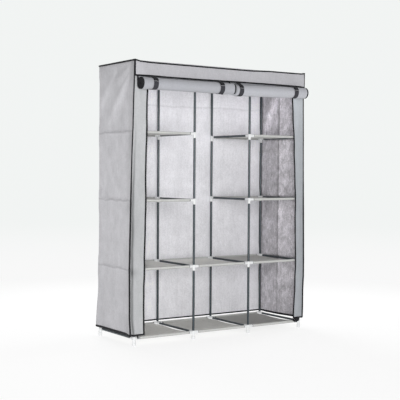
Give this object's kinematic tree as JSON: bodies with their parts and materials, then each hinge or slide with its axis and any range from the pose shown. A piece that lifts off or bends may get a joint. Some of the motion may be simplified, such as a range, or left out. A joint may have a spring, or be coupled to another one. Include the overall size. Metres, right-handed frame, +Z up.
{
  "type": "portable fabric wardrobe",
  "caption": "Free-standing fabric wardrobe on a steel tube frame, with cloth shelves, a hanging space, and zipped doors rolled up and strapped under a valance.",
  "frame": {"origin": "on the floor, in the middle of the bounding box", "axes": "+Z up, +X to the right as seen from the front, -Y out of the front"},
  "size_m": [1.307, 0.5363, 1.7035],
  "materials": {
    "cover_cloth": "matt non-woven",
    "shelf_cloth": "matt non-woven",
    "black_tape": "woven tape",
    "tube_steel": "satin",
    "frame": "satin tubes in white plastic connectors",
    "zip_metal": "dark satin"
  },
  "bodies": {
    "wardrobe": {"left_end_frame": "frame", "left_middle_frame": "frame", "right_middle_frame": "frame", "right_end_frame": "frame", "left_front_tube_1": "tube_steel", "left_front_tube_2": "tube_steel", "left_front_tube_3": "tube_steel", "left_front_tube_4": "tube_steel", "left_front_tube_5": "tube_steel", "left_back_tube_1": "tube_steel", "left_back_tube_2": "tube_steel", "left_back_tube_3": "tube_steel", "left_back_tube_4": "tube_steel", "left_back_tube_5": "tube_steel", "middle_front_tube_1": "tube_steel", "middle_front_tube_2": "tube_steel", "middle_front_tube_5": "tube_steel", "middle_back_tube_1": "tube_steel", "middle_back_tube_2": "tube_steel", "middle_back_tube_5": "tube_steel", "right_front_tube_1": "tube_steel", "right_front_tube_2": "tube_steel", "right_front_tube_3": "tube_steel", "right_front_tube_4": "tube_steel", "right_front_tube_5": "tube_steel", "right_back_tube_1": "tube_steel", "right_back_tube_2": "tube_steel", "right_back_tube_3": "tube_steel", "right_back_tube_4": "tube_steel", "right_back_tube_5": "tube_steel", "hanging_rail": "tube_steel", "left_shelf_1": "shelf_cloth", "left_shelf_2": "shelf_cloth", "left_shelf_3": "shelf_cloth", "left_shelf_4": "shelf_cloth", "middle_shelf_1": "shelf_cloth", "middle_shelf_2": "shelf_cloth", "right_shelf_1": "shelf_cloth", "right_shelf_2": "shelf_cloth", "right_shelf_3": "shelf_cloth", "right_shelf_4": "shelf_cloth", "top_panel": "cover_cloth", "back_panel": "cover_cloth", "left_side_panel": "cover_cloth", "right_side_panel": "cover_cloth", "valance": "cover_cloth", "left_front_strip": "cover_cloth", "right_front_strip": "cover_cloth", "edge_binding": "black_tape", "left_door_header": "cover_cloth", "right_door_header": "cover_cloth", "strap_header_tape": "black_tape"},
    "left_door": {"left_door_roll": "cover_cloth"},
    "right_door": {"right_door_roll": "cover_cloth"},
    "left_outer_strap": {"left_door_outer_strap": "black_tape"},
    "left_inner_strap": {"left_door_inner_strap": "black_tape"},
    "right_inner_strap": {"right_door_inner_strap": "black_tape"},
    "right_outer_strap": {"right_door_outer_strap": "black_tape"},
    "left_zip": {"left_zip_slider": "zip_metal"},
    "right_zip": {"right_zip_slider": "zip_metal"}
  },
  "joints": [
    {"name": "left_door_drop", "type": "slide", "parent": "wardrobe", "child": "left_door", "axis": [0, 0, 1], "range_m": [-1.44, 0], "deforming": ["left_door_header"]},
    {"name": "right_door_drop", "type": "slide", "parent": "wardrobe", "child": "right_door", "axis": [0, 0, 1], "range_m": [-1.44, 0], "deforming": ["right_door_header"]},
    {"name": "left_zip_run", "type": "slide", "parent": "wardrobe", "child": "left_zip", "axis": [0, 0, 1], "range_m": [-1.46, 0]},
    {"name": "right_zip_run", "type": "slide", "parent": "wardrobe", "child": "right_zip", "axis": [0, 0, 1], "range_m": [-1.46, 0]},
    {"name": "left_outer_strap_release", "type": "hinge", "parent": "wardrobe", "child": "left_outer_strap", "pos_m": [-0.547, -0.20025, 1.532], "axis": [1, 0, 0], "range_deg": [0, 90]},
    {"name": "left_inner_strap_release", "type": "hinge", "parent": "wardrobe", "child": "left_inner_strap", "pos_m": [-0.066, -0.20025, 1.532], "axis": [1, 0, 0], "range_deg": [0, 90]},
    {"name": "right_inner_strap_release", "type": "hinge", "parent": "wardrobe", "child": "right_inner_strap", "pos_m": [0.081, -0.20025, 1.5254], "axis": [1, 0, 0], "range_deg": [0, 90]},
    {"name": "right_outer_strap_release", "type": "hinge", "parent": "wardrobe", "child": "right_outer_strap", "pos_m": [0.527, -0.20025, 1.5345], "axis": [1, 0, 0], "range_deg": [0, 90]}
  ]
}
